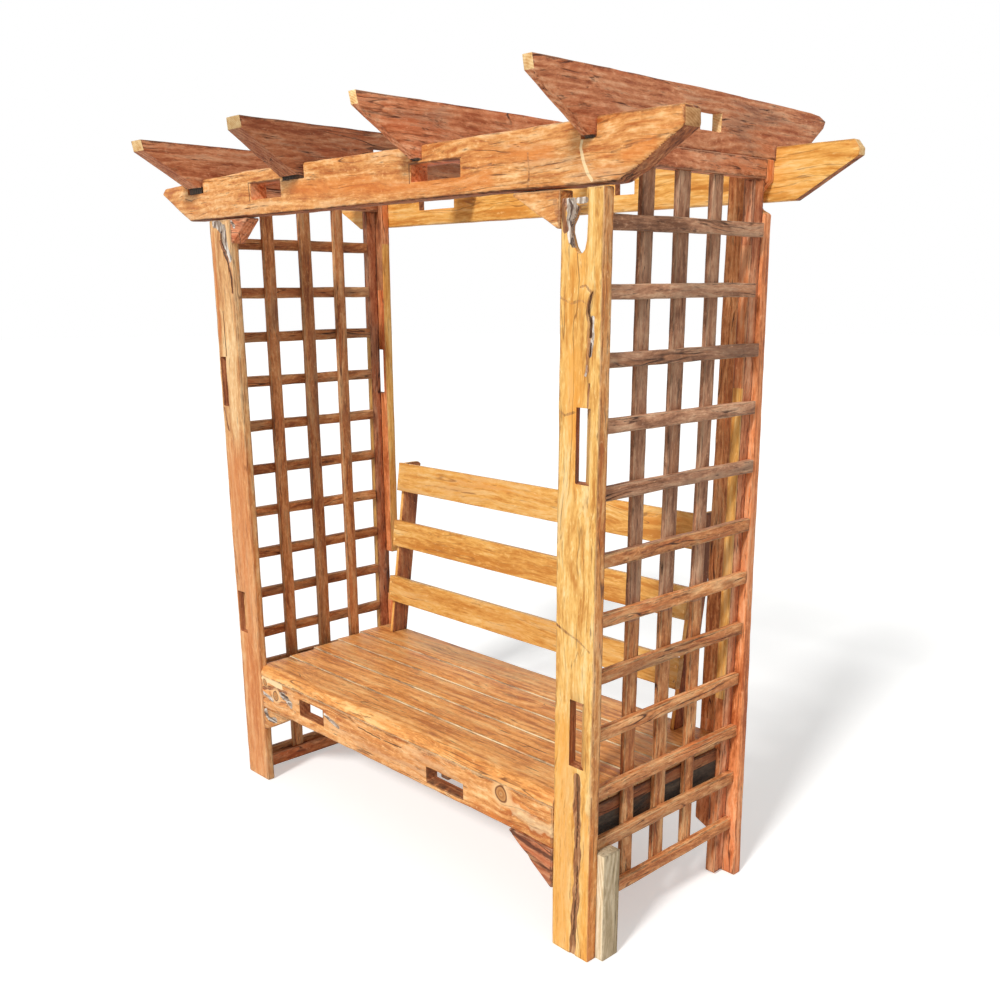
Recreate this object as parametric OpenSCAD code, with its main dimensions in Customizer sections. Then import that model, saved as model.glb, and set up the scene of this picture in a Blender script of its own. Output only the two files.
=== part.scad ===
// Garden arbour seat of reclaimed waney-edged timber.
// X runs along the seat, Y from front to back, Z up; the origin is on the ground,
// under the middle of the overall box. Units are millimetres.

/* [Overall] */
// length of the two long beams
beam_len = 2182; // [2100:1:2500]
// length of the rafters, front tip to rear tip
rafter_len = 1114; // [1080:1:1300]
// clear height under the beams
headroom = 1921; // [1850:1:2150]
// clear width between the front posts
bay_w = 1417; // [1200:1:1440]
// height of the seat top above the ground
seat_h = 440; // [410:1:470]

/* [Posts and beams] */
// width of a front post
post_w = 131; // [110:1:140]
// thickness of the left front post
post_left_t = 28; // [25:1:40]
// thickness of the right front post
post_right_t = 34; // [25:1:40]
// thickness of the rear posts
rear_post_t = 33; // [25:1:40]
// thickness of the front beam
beam_t = 58; // [45:1:70]
// thickness of the rear beam, a plank
rear_beam_t = 26; // [20:1:58]
// height of the long beams
beam_h = 131; // [120:1:150]

/* [Seat] */
// thickness of the seat boards
board_t = 27; // [22:1:35]
// height of the front board's rounded nose
nose_h = 36; // [36:1:50]
// gap between neighbouring seat boards
board_gap = 2; // [1:0.5:5]
// height of the apron below the nose
apron_h = 121; // [100:1:130]
// thickness of the apron
apron_t = 45; // [35:1:55]

/* [Back] */
// lean of the back from upright, degrees
lean = 8; // [4:0.5:12]
// length of the back uprights
upright_len = 651; // [640:1:720]
// thickness of the back slats
back_slat_t = 22; // [16:1:28]
// radius of the plugs over the screws
plug_r = 5; // [4:0.5:7]

/* [Side lattice] */
// thickness of the upright battens
batten_t = 15; // [12:1:20]
// height of the lattice slats
slat_h = 38; // [30:1:45]
// thickness of the lattice slats
slat_t = 20; // [15:1:25]

/* [Hidden] */
$fn = 48;
front = -365;                          // front plane of posts, beam and apron
rear_wall = 323;                       // where rear posts meet the rear beam
bay_mid = 44.5;                        // the bay sits right of the beams' middle
left = bay_mid - bay_w / 2;            // inner edge of the left front post
right = bay_mid + bay_w / 2;           // inner edge of the right front post
beam_end = beam_len / 2;
tip = rafter_len / 2;
soffit = headroom;                     // underside of the beams
rafter_z = soffit + 101;               // underside of the rafters
rafter_top = rafter_z + 139;
rail_h = 48;
rail_z = rafter_z - rail_h;            // underside of the side top rails
left_back = front + post_left_t;       // back face of the left front post
right_back = front + post_right_t;     // back face of the right front post
rear_front = rear_wall - rear_post_t;  // front face of the rear posts
batten_in_l = left - 85;               // inner face of the left battens
batten_in_r = right + 83;              // inner face of the right battens
slat_in_l = batten_in_l - batten_t;
slat_in_r = batten_in_r + batten_t;
corner_x = slat_in_r - 32;             // the right rear batten is a wider one
corner_y = rear_front - 44;
board_z = seat_h - board_t;            // underside of the seat boards
apron_top = seat_h - nose_h;
apron_z = apron_top - apron_h;
seat_rail_z = board_z - 93;
seat_right = right + 77;
back_foot = 213;                       // front edge of the uprights' feet
upright_w = 17;
upright_d = 70;
upright_r = right - 66;                // left side of the right upright
brace_t = 45;
pocket_web = 4;                        // wood left behind the left front post's mortises

// rafters: top left, top right, bottom left, bottom right, drop of the top,
// notch left, notch right, notch bottom below the rafter
rafters = [
    [-891, -828, -900, -824, 10, -915, -813, 17],
    [-319, -252, -352, -262, 1, -354, -245, 9],
    [240, 269, 240, 269, 0, 232, 276, 4],
    [824, 853, 824, 853, 1, 812, 858, 4]
];
// front edge, left end and rear edge of each seat board behind the first
boards = [[-228, 26, -110], [-110, 48, 12], [12, 69, 130], [130, 85, 285]];
// centres and widths of the upright battens
battens_left = [[-174, 43], [-28, 46], [109, 41]];
battens_right = [[-174, 43], [-39, 46], [94, 41]];
// undersides of the lattice slats
slats_left = [1833, 1680, 1536, 1389, 1240, 1089, 942, 795, 650, 500, 383, 38];
slats_right = [1832, 1684, 1533, 1383, 1225, 1062, 912, 764, 611, 447, 301, 149];
// how far each right slat stops short of the rear post
slats_short = [19, 39, 8, 8, 0, 0, 0, 3, 6, 0, 0, 0];
// lower edge and width of the back slats, measured up the slope
back_slats = [[547, 103], [339, 96], [129, 93]];

golden = [0.80, 0.53, 0.26];
honey = [0.86, 0.63, 0.33];
russet = [0.50, 0.27, 0.15];
brown = [0.42, 0.28, 0.20];
pale = [0.84, 0.76, 0.63];

// a box between two opposite corners
module box(low, high) {
    translate(low) cube(high - low);
}

// an outline in X and Z, between two planes across Y
module across(y0, y1) {
    translate([0, y1, 0]) rotate([90, 0, 0]) linear_extrude(y1 - y0) children();
}

// an outline in Y and Z, between two planes across X
module along(x0, x1) {
    translate([x0, 0, 0]) rotate([90, 0, 90]) linear_extrude(x1 - x0) children();
}

// the housings that the rafters' cogs drop into
module notches(y0, y1) {
    for (r = rafters)
        box([r[5], y0 - 1, rafter_z - r[7]], [r[6], y1 + 1, rafter_top + 20]);
}

module front_beam() {
    y0 = front;
    y1 = front + beam_t;
    h = beam_h;
    color(golden) difference() {
        across(y0, y1) polygon([
            [-beam_end + 176, soffit], [beam_end - 175, soffit], [beam_end - 130, soffit + 25],
            [beam_end, soffit + 100], [beam_end - 3, soffit + h + 10],
            [beam_end - 90, soffit + h + 10], [561, soffit + h + 5], [190, soffit + h + 2],
            [-527, soffit + h + 2], [-803, soffit + h - 6],
            [-beam_end + 25, soffit + h - 18], [-beam_end, soffit + 96]]);
        notches(y0, y1);
        // old through mortises
        box([-532, y0 - 1, soffit + 49], [-367, y1 + 1, soffit + 95]);
        box([232, y0 - 1, soffit + 48], [420, y1 + 1, soffit + 90]);
    }
}

module rear_beam() {
    y0 = rear_wall;
    y1 = rear_wall + rear_beam_t;
    h = beam_h;
    color(honey) difference() {
        across(y0, y1) polygon([
            [-beam_end + 188, soffit], [beam_end - 170, soffit], [beam_end - 1, soffit + 94],
            [beam_end - 1, soffit + 110], [beam_end - 18, soffit + h],
            [-beam_end + 26, soffit + h], [-beam_end + 11, soffit + 114],
            [-beam_end + 11, soffit + 96]]);
        notches(y0, y1);
        box([-565, y0 - 1, soffit + 49], [-383, y1 + 1, soffit + 91]);
        box([323, y0 - 1, soffit + 46], [395, y1 + 1, soffit + 84]);
    }
}

// a rafter: bevelled tails, a waney section and a cog over each beam
module rafter(i) {
    r = rafters[i];
    top = rafter_top - r[4];
    color(russet) difference() {
        union() {
            intersection() {
                along(r[2] - 60, r[3] + 60) polygon([
                    [-374, rafter_z], [410, rafter_z], [tip - 66, rafter_z + 49],
                    [tip - 8, rafter_z + 92], [tip, rafter_z + 110],
                    [tip - 32, rafter_z + 121], [tip - 72, top - 13],
                    [0, top - 4], [-tip, top], [-tip + 7, top - 30]]);
                across(-tip - 1, tip + 1) polygon([
                    [r[2], rafter_z], [r[3], rafter_z], [r[1], rafter_top + 1],
                    [r[0], rafter_top + 1]]);
            }
            for (b = [[front, beam_t], [rear_wall, rear_beam_t]])
                box([r[2], b[0], rafter_z - r[7]], [r[3], b[0] + b[1], rafter_z + 5]);
        }
        if (i == 3) box([700, 8, rafter_z + 45], [900, 90, rafter_z + 87]);
        if (i == 1) box([-400, -104, rafter_z + 45], [-200, 76, rafter_z + 95]);
    }
}

// two old blind mortises lie close to the outer edge
module front_post_left() {
    x0 = left - post_w + 8;
    color(golden) difference() {
        box([left - post_w, front, 0], [left, left_back, soffit]);
        box([x0, front - 1, 1336], [left - 86, left_back - pocket_web, 1496]);
        box([x0, front - 1, 545], [left - 71, left_back - pocket_web, 693]);
    }
}

// an old through mortise with splayed cheeks: its edges on the front and on the back
module splayed_mortise(f0, f1, b0, b1, z0, z1) {
    t = post_right_t;
    translate([right, front, z0]) linear_extrude(z1 - z0) polygon([
        [f0 - (b0 - f0) / t, -1], [f1 - (b1 - f1) / t, -1],
        [b1 + (b1 - f1) / t, t + 1], [b0 + (b0 - f0) / t, t + 1]]);
}

// the right post has a slanting eye under its top, and its inner prong stops short
module front_post_right() {
    slant = -0.47;
    color(golden) difference() {
        box([right, front, 0], [right + post_w, right_back, soffit]);
        box([right - 1, front - 1, soffit - 19], [right + 78, right_back + 1, soffit + 1]);
        multmatrix([[1, slant, 0, -slant * front], [0, 1, 0, 0], [0, 0, 1, 0]])
            across(front - 1, right_back + 1) polygon([
                [right + 52, soffit - 36], [right + 44, soffit - 59], [right + 32, soffit - 76],
                [right + 31, soffit - 91], [right + 43, soffit - 121], [right + 55, soffit - 135],
                [right + 66, soffit - 139], [right + 77, soffit - 130], [right + 83, soffit - 108],
                [right + 84, soffit - 59], [right + 82, soffit - 36]]);
        splayed_mortise(60, 105, 41, 64, 1268, 1446);
        splayed_mortise(55, 105, 46, 67, 545, 724);
    }
}

module rear_post_left() {
    x0 = left - post_w - 40;
    color(brown) difference() {
        box([x0, rear_front, 0], [x0 + 100, rear_wall, rafter_z]);
        box([x0 + 20, rear_front - 1, 1336], [x0 + 83, rear_wall + 1, 1494]);
        box([x0 + 40, rear_front - 1, 559], [x0 + 101, rear_wall + 1, 731]);
    }
}

// the waney post widens towards a foot cut away at its inner corner
module rear_post_right() {
    color(honey) across(rear_front, rear_wall) polygon([
        [right + 65, 0], [right + 142, 0], [right + 135, 420], [right + 118, 1200],
        [right + 104, rafter_z - 170], [right + 104, rafter_z - 132], [right + 82, rafter_z - 120],
        [right + 69, rafter_z - 104], [right + 76, rafter_z - 80], [right + 104, rafter_z - 52],
        [right + 104, rafter_z], [right - 13, rafter_z], [right - 13, 140], [right + 65, 105]]);
}

module top_rail_left() {
    color(russet) box([slat_in_l - 21, front + beam_t, rail_z],
        [batten_in_l - 1, rear_front, rafter_z]);
}

module top_rail_right() {
    color(russet) box([batten_in_r - 14, front + beam_t, rail_z],
        [slat_in_r + 6, rear_front, rafter_z]);
}

// a three-cornered brace in the angle between a post and a long member
module brace(x, z, dx, dz) {
    color(golden) across(front, front + brace_t)
        polygon([[x, z], [x + dx, z], [x + dx, z + sign(dz) * 6], [x + sign(dx) * 8, z + dz],
            [x, z + dz]]);
}

module apron() {
    y1 = front + apron_t;
    color(golden) difference() {
        along(left, right) polygon([[front + 10, apron_z], [y1, apron_z], [y1, apron_top],
            [front, apron_top], [front, apron_z + 10]]);
        box([-430, front - 1, apron_z + 39], [-290, y1 + 1, apron_z + 96]);
        box([235, front - 1, apron_z + 23], [400, y1 + 1, apron_z + 69]);
    }
}

// the first board has the rounded nose and runs between and behind the front posts
module seat_board_1() {
    nose_r = 28;
    y1 = boards[0][0] - board_gap;
    color(golden) union() {
        along(left, right) polygon(concat(
            [for (a = [90:15:180]) [front + nose_r + nose_r * cos(a),
                seat_h - nose_r + nose_r * sin(a)]],
            [[front, apron_top], [front + apron_t, apron_top], [front + apron_t, board_z],
                [y1, board_z], [y1, seat_h]]));
        box([left - 16, left_back, board_z], [left + 40, y1, seat_h]);
        box([right - 40, right_back, board_z], [seat_right, y1, seat_h]);
    }
}

module seat_board(i) {
    b = boards[i];
    gap = i == 3 ? 0 : board_gap;
    color(golden) difference() {
        box([left - b[1], b[0], board_z], [seat_right, b[2] - gap, seat_h]);
        box([corner_x, corner_y, 0], [corner_x + 100, rear_front, seat_h + 1]);
    }
}

module seat_rail_left() {
    color(brown) box([batten_in_l, left_back, seat_rail_z], [left - 8, rear_front, board_z]);
}

// the right rail is housed round the corner batten
module seat_rail_right() {
    color(brown) difference() {
        box([batten_in_r - 35, right_back, seat_rail_z], [batten_in_r, rear_front, board_z]);
        box([corner_x, corner_y, 0], [corner_x + 100, rear_front + 1, seat_h]);
    }
}

module seat_rail_rear() {
    color(brown) box([left - 8, 250, seat_rail_z], [batten_in_r - 35, 285, board_z]);
}

// a bearer under the boards, from the apron to the rear seat rail
module bearer(x) {
    color(brown) box([x, front + apron_t, apron_z + 25], [x + 32, 250, board_z]);
}

// places its children on the sloping front of the back's uprights
module on_slope() {
    translate([0, back_foot, seat_h]) rotate([-lean, 0, 0]) children();
}

module back_upright(x) {
    run = tan(lean);
    rise = upright_len * cos(lean);
    color(golden) along(x, x + upright_w) polygon([
        [back_foot, seat_h], [back_foot + upright_d, seat_h],
        [back_foot + upright_d + (rise - 8) * run, seat_h + rise - 8],
        [back_foot + upright_d - 12 + rise * run, seat_h + rise],
        [back_foot + rise * run, seat_h + rise]]);
}

// two plugs at each end of a slat, over the uprights
module plug_places(i) {
    s = back_slats[i];
    for (x = [left, upright_r] + [upright_w / 2, upright_w / 2], z = [s[0] + 24, s[0] + s[1] - 25])
        translate([x, -back_slat_t, z]) rotate([-90, 0, 0]) children();
}

module back_slat(i) {
    s = back_slats[i];
    color(honey) on_slope() difference() {
        box([left, -back_slat_t, s[0]], [upright_r + upright_w, 0, s[0] + s[1]]);
        plug_places(i) translate([0, 0, -1]) cylinder(r = plug_r, h = 9);
    }
}

module screw_plugs() {
    color(pale) on_slope() for (i = [0:2])
        plug_places(i) translate([0, 0, -0.6]) cylinder(r = plug_r, h = 8.6);
}

module batten_left(i) {
    b = battens_left[i];
    color(brown) box([slat_in_l, b[0] - b[1] / 2, 46], [batten_in_l, b[0] + b[1] / 2, rail_z]);
}

module batten_right(i) {
    b = battens_right[i];
    color(brown) box([batten_in_r, b[0] - b[1] / 2, 140], [slat_in_r, b[0] + b[1] / 2, rail_z]);
}

// the left corner batten stands in the plane of the slats, which end at it
module corner_batten_left() {
    color(russet) box([slat_in_l - slat_t - 6, corner_y, 46], [slat_in_l - 6, rear_front, rail_z]);
}

module corner_batten_right() {
    color(russet) box([corner_x, corner_y, 8], [slat_in_r, rear_front, rail_z]);
}

module lattice_slats_left() {
    color(brown) for (z = slats_left)
        box([slat_in_l - slat_t, left_back, z], [slat_in_l, corner_y, z + slat_h]);
}

module lattice_slats_right() {
    color(brown) for (i = [0:len(slats_right) - 1])
        box([slat_in_r, right_back, slats_right[i]],
            [slat_in_r + slat_t, rear_front - slats_short[i], slats_right[i] + slat_h]);
}

module bottom_rail_left() {
    color(russet) box([batten_in_l, left_back, 12], [batten_in_l + 10, rear_front, 58]);
}

module foot_block() {
    color(pale) box([slat_in_r + slat_t, right_back, 0], [slat_in_r + slat_t + 37, right_back + 61, 310]);
}

front_post_left();
front_post_right();
rear_post_left();
rear_post_right();
front_beam();
rear_beam();
rafter(0);  // rafter_1
rafter(1);  // rafter_2
rafter(2);  // rafter_3
rafter(3);  // rafter_4
top_rail_left();
top_rail_right();
brace(left, soffit, 100, -72);  // brace_upper_left
brace(right, soffit, -150, -83);  // brace_upper_right
brace(left, apron_z, 150, -80);  // brace_lower_left
brace(right, apron_z, -165, -115);  // brace_lower_right
apron();
seat_board_1();
seat_board(0);  // seat_board_2
seat_board(1);  // seat_board_3
seat_board(2);  // seat_board_4
seat_board(3);  // seat_board_5
seat_rail_left();
seat_rail_right();
seat_rail_rear();
bearer(-208);  // bearer_left
bearer(251);  // bearer_right
back_upright(left);  // back_upright_left
back_upright(upright_r);  // back_upright_right
back_slat(0);  // back_slat_top
back_slat(1);  // back_slat_middle
back_slat(2);  // back_slat_bottom
screw_plugs();
batten_left(0);  // batten_left_1
batten_left(1);  // batten_left_2
batten_left(2);  // batten_left_3
corner_batten_left();  // batten_left_4
batten_right(0);  // batten_right_1
batten_right(1);  // batten_right_2
batten_right(2);  // batten_right_3
corner_batten_right();  // batten_right_4
lattice_slats_left();
lattice_slats_right();
bottom_rail_left();
foot_block();
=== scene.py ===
import bpy
import bmesh
import math
from mathutils import Matrix, Vector, noise


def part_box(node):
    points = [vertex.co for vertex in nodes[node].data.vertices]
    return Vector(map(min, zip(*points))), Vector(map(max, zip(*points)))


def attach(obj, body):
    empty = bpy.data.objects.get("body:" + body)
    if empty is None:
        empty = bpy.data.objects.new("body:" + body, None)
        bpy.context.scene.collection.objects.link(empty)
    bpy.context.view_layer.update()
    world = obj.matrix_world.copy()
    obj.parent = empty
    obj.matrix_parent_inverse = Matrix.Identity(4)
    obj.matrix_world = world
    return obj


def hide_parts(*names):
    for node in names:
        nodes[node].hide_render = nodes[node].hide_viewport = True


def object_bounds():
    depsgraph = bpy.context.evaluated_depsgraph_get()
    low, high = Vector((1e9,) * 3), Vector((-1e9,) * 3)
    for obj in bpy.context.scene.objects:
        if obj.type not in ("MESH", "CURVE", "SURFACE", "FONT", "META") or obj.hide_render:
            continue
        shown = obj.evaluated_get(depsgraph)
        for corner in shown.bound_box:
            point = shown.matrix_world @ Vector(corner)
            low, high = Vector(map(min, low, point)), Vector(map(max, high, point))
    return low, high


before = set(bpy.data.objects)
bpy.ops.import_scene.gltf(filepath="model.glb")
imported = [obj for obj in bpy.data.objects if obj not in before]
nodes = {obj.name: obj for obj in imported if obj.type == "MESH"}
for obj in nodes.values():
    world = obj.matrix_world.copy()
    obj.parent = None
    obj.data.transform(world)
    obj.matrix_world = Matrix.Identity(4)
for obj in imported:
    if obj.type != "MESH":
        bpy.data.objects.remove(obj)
cadLow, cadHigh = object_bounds()
mm = 0.001

# camera, light and floor

viewpoint = {"place": (2.52908, -2.24965, 1.71066), "yaw": 46.51, "pitch": 16.49, "roll": -0.23,
             "lens": 39.18, "shift": (0.00364, 0.11029)}


def aimCamera(v):
    yaw, pitch, roll = (math.radians(v[k]) for k in ("yaw", "pitch", "roll"))
    forward = Vector((-math.sin(yaw) * math.cos(pitch), math.cos(yaw) * math.cos(pitch), -math.sin(pitch)))
    level = Vector((math.cos(yaw), math.sin(yaw), 0))
    upright = level.cross(forward)
    right = level * math.cos(roll) + upright * math.sin(roll)
    up = -level * math.sin(roll) + upright * math.cos(roll)
    data = bpy.data.cameras.new("camera")
    data.lens, data.sensor_width = v["lens"], 36
    data.shift_x, data.shift_y = v["shift"]
    camera = bpy.data.objects.new("camera", data)
    bpy.context.scene.collection.objects.link(camera)
    turned = Matrix((right, up, -forward)).transposed().to_4x4()
    camera.matrix_world = Matrix.Translation(v["place"]) @ turned
    bpy.context.scene.camera = camera


aimCamera(viewpoint)
bpy.context.scene.view_settings.view_transform = "Standard"


def toLinear(hexCode):
    parts = [int(hexCode[i:i + 2], 16) / 255 for i in (0, 2, 4)]
    return [p / 12.92 if p <= 0.04045 else ((p + 0.055) / 1.055) ** 2.4 for p in parts] + [1]


# adds one node: values go to its inputs or settings, links join nodes or sockets to its inputs
def put(tree, kind, values=None, links=None):
    node = tree.nodes.new(kind)
    for name, value in (values or {}).items():
        if isinstance(name, int) or (name in node.inputs and not hasattr(node, name)):
            node.inputs[name].default_value = value
        else:
            setattr(node, name, value)
    for name, source in (links or {}).items():
        tree.links.new(source.outputs[0] if isinstance(source, bpy.types.Node) else source, node.inputs[name])
    return node


studio = {"key": 2.5, "keyFrom": (0.20, -0.76, 0.60), "keySpread": 9,
          "fill": 0.25, "fillFrom": (0.80, -0.30, 0.40), "fillSpread": 60,
          "sky": 0.36, "floor": "f2f2f0", "floorLift": 0.36}


def lightStudio(s):
    for name in ("key", "fill"):
        lamp = bpy.data.lights.new(name, "SUN")
        lamp.energy, lamp.angle = s[name], math.radians(s[name + "Spread"])
        holder = bpy.data.objects.new(name, lamp)
        holder.rotation_mode = "QUATERNION"
        holder.rotation_quaternion = Vector(s[name + "From"]).to_track_quat("Z", "Y")
        bpy.context.scene.collection.objects.link(holder)
    world = bpy.data.worlds.new("studio")
    bpy.context.scene.world = world
    world.use_nodes = True
    tree = world.node_tree
    tree.nodes.clear()
    path = put(tree, "ShaderNodeLightPath")
    seen = path.outputs["Is Camera Ray"]
    for ray in ("Is Glossy Ray", "Is Transmission Ray"):
        seen = put(tree, "ShaderNodeMath", {"operation": "MAXIMUM"}, {0: seen, 1: path.outputs[ray]})
    level = put(tree, "ShaderNodeMapRange", {"To Min": s["sky"], "To Max": 1.0}, {"Value": seen})
    back = put(tree, "ShaderNodeBackground", {"Color": (1, 1, 1, 1)}, {"Strength": level})
    put(tree, "ShaderNodeOutputWorld", {}, {"Surface": back})
    # the floor is lifted to the background's white for the camera and keeps the shadow
    paper = bpy.data.materials.new("floorPaper")
    paper.use_nodes = True
    tree = paper.node_tree
    tree.nodes.clear()
    matt = put(tree, "ShaderNodeBsdfDiffuse", {"Color": toLinear(s["floor"])})
    path = put(tree, "ShaderNodeLightPath")
    lift = put(tree, "ShaderNodeMath", {"operation": "MULTIPLY", 1: s["floorLift"]},
               {0: path.outputs["Is Camera Ray"]})
    glow = put(tree, "ShaderNodeEmission", {"Color": (1, 1, 1, 1)}, {"Strength": lift})
    both = put(tree, "ShaderNodeAddShader", {}, {0: matt, 1: glow})
    put(tree, "ShaderNodeOutputMaterial", {}, {"Surface": both})
    bm = bmesh.new()
    bmesh.ops.create_circle(bm, cap_ends=True, segments=64, radius=40)
    mesh = bpy.data.meshes.new("floor")
    bm.to_mesh(mesh)
    bm.free()
    mesh.materials.append(paper)
    floor = bpy.data.objects.new("floor", mesh)
    floor.location.z = -0.0005
    bpy.context.scene.collection.objects.link(floor)


lightStudio(studio)
print("camera, light and floor are set")

# finishes

# Every timber is reclaimed teak, sawn or hewn, then oiled. On each mesh "grain" holds a point's place
# along the fibres, across them and through the thickness, in metres from the heart of the tree,
# "place" the same from the middle of the piece, "half" the piece's half sizes, and "tone" how
# light the piece is.
# dark, mid and light are the wood's own range; stain is old weathering in patches and ember its
# warm patches; vein is the dark line of a pore band; ring is the spacing of the growth rings in mm
# and ringShare how strongly they show; flecks is the share of short dark fibres; rim is the width
# in mm of the dark band along the arrises, grime and, on the seat boards, painted shade in the gaps
# between them, and rimShare its strength; wornHighlightWidth is the width in mm of the pale arris,
# partly worn and partly a painted highlight, wornHighlightTint its colour and crest its strength;
# along draws the whole figure out when it is below 1. Each teak names what differs from the usual
# one, and its pale arris has the wood's own light colour unless wornHighlightTint says otherwise.
usualTeak = {"emberShare": 0.5, "along": 0.8, "ringShare": 0.05, "flecks": 1.0, "crest": 0.5, "wornHighlightWidth": 3.5,
             "rough": 0.5, "relief": 1.0}
teaks = {
    # hewn and oiled, golden orange: front beam, apron, left front post
    "goldenTeak": {"dark": "b4652c", "mid": "e09c58", "light": "fccb90", "stain": "a85a2c", "stainShare": 0.55,
                   "ember": "de7e30", "vein": "5c2c14", "ring": 17, "ringShare": 0.04, "flecks": 0.9, "rim": 7,
                   "rimShare": 0.6, "relief": 0.8},
    # the sunnier, yellower plank of the right front post
    "yellowTeak": {"dark": "c78438", "mid": "efbb68", "light": "fbdc9c", "stain": "d08a3c", "stainShare": 0.5,
                   "ember": "eea03c", "vein": "7a4418", "along": 0.55, "ring": 19, "ringShare": 0.04,
                   "flecks": 0.8, "rim": 6, "rimShare": 0.55, "relief": 0.8},
    # the left front post: greyer yellow above, more orange below
    "wheatTeak": {"dark": "ba7a42", "mid": "e6b074", "light": "fbd8a2", "stain": "b87a48", "stainShare": 0.55,
                  "ember": "d5702c", "emberShare": 0.4, "vein": "6a3c1e", "along": 0.6, "ring": 18,
                  "ringShare": 0.04, "flecks": 0.9, "rim": 7, "rimShare": 0.6, "relief": 0.8},
    # seat boards: planed, with long brown stripes; their strong dark rims are painted shade in the gaps between
    # the boards, and their pale arrises are partly worn and partly a painted highlight
    "seatTeak": {"dark": "b86c30", "mid": "e8a056", "light": "fbc884", "stain": "9c5a2c", "stainShare": 0.6,
                 "ember": "d98a44", "emberShare": 0.4, "vein": "5e3016", "along": 0.6, "ring": 14,
                 "ringShare": 0.06, "flecks": 0.9, "rim": 6, "rimShare": 0.9, "crest": 0.9, "wornHighlightWidth": 4.2,
                 "wornHighlightTint": "fbe2b4", "rough": 0.45, "relief": 0.5},
    # back slats and rear beam: clear honey
    "honeyTeak": {"dark": "cc8434", "mid": "edb25c", "light": "fad08a", "stain": "c87c34", "stainShare": 0.5,
                  "ember": "e99438", "vein": "7c4218", "along": 0.45, "ring": 15, "ringShare": 0.04,
                  "flecks": 0.7, "rim": 5, "rimShare": 0.5, "crest": 0.3, "wornHighlightWidth": 3, "rough": 0.45,
                  "relief": 0.4},
    # orange-red planks of the rear posts and the lowest rail
    "orangeTeak": {"dark": "a85628", "mid": "e28c54", "light": "f6b482", "stain": "8c4424", "stainShare": 0.6,
                   "ember": "de6c34", "vein": "4e2210", "along": 0.7, "ring": 15, "flecks": 0.9, "rim": 6,
                   "rimShare": 0.6, "relief": 0.7},
    # painted shade: a dark brown laid on faces that lie in shade, such as undersides, sides turned from the
    # light and the insides of mortises
    "umberShadeTeak": {"dark": "6e3a20", "mid": "a8643c", "light": "cf9060", "stain": "5a2e1a", "stainShare": 0.8,
                  "ember": "b4602e", "vein": "2e160c", "ring": 13, "rim": 6, "rimShare": 0.7, "crest": 0.2,
                  "wornHighlightWidth": 3, "rough": 0.65, "relief": 0.9},
    # rafters and top rails: sawn, reddish brown, weathered in patches
    "russetTeak": {"dark": "a4552f", "mid": "d68a5e", "light": "f0b48a", "stain": "7c3c22", "stainShare": 0.85,
                   "ember": "cc6a3a", "vein": "40190c", "along": 0.75, "ring": 13, "rim": 7, "rimShare": 0.75,
                   "crest": 0.45, "rough": 0.6},
    # lattice: sawn, dull brown, rough
    "brownTeak": {"dark": "80543a", "mid": "b98564", "light": "dcb08c", "stain": "6c4430", "stainShare": 0.8,
                  "ember": "b87444", "vein": "32190e", "ring": 11, "rim": 4, "rimShare": 0.75, "crest": 0.7,
                  "rough": 0.65},
    # redder brown, for the lower part of the lattice; on the left part of the right rear post's front face it is
    # painted shade
    "amberTeak": {"dark": "98542a", "mid": "d48c54", "light": "f2bc84", "stain": "743c22", "stainShare": 0.85,
                  "ember": "d0723a", "vein": "34170b", "ring": 12, "rim": 4, "rimShare": 0.8, "crest": 0.7,
                  "rough": 0.6},
    # near black: painted shade on the right seat rail's lower outer face; the rafters' cogs over the front beam
    # are drawn in it too
    "nearBlackTeak": {"dark": "2a211a", "mid": "4e4238", "light": "70604f", "stain": "201a16", "stainShare": 0.6,
                 "ember": "7a4c2c", "emberShare": 0.7, "vein": "120c08", "along": 1.0, "ring": 13,
                 "flecks": 0.8, "rim": 4, "rimShare": 0.4, "crest": 0.2, "wornHighlightWidth": 3, "wornHighlightTint": "6e645c",
                 "rough": 0.75},
    # the block's weathered side
    "greyPine": {"dark": "a8936f", "mid": "cab493", "light": "dfcdab", "stain": "9a8868", "stainShare": 0.4,
                 "ember": "ab946c", "emberShare": 0.3, "vein": "5c4a34", "along": 0.6, "ring": 9,
                 "ringShare": 0.10, "flecks": 0.8, "rim": 4, "rimShare": 0.5, "crest": 0.4, "wornHighlightWidth": 3,
                 "wornHighlightTint": "d2bf9c", "rough": 0.75, "relief": 0.7},
    # untreated pine of the foot block
    "pine": {"dark": "cdb48c", "mid": "e8d4ae", "light": "f8ebce", "stain": "b8a484", "stainShare": 0.3,
             "ember": "e4cc98", "emberShare": 0.3, "vein": "8c7450", "along": 0.5, "ring": 9, "ringShare": 0.10,
             "flecks": 0.4, "rim": 4, "rimShare": 0.4, "crest": 0.4, "wornHighlightWidth": 3, "rough": 0.7, "relief": 0.5},
}
# noises in the plank: the size of one patch in mm along and across the fibres, detail, roughness;
# real fibres lie under 1 mm apart, so they are drawn 3 mm apart to show
plankNoises = {"drift": (830, 250, 1, 0.5), "blotch": (165, 50, 5, 0.72), "patch": (450, 140, 3, 0.6),
               "streak": (330, 18, 4, 0.7), "mottle": (50, 12, 3, 0.75), "speckle": (14, 8.5, 2, 0.7),
               "fibre": (62, 3, 3, 0.7), "fleck": (76, 8.5, 3, 0.75), "ember": (250, 76, 4, 0.65),
               "line": (590, 45, 2, 0.5), "crumb": (26, 13, 3, 0.7), "bark": (76, 10.5, 4, 0.75),
               "hewn": (110, 50, 2, 0.5)}
# how long and wide one sway of the fibres is, and one knot's share of the plank, in mm
swaySize, knotSize = (385, 125), (525, 155)


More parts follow.
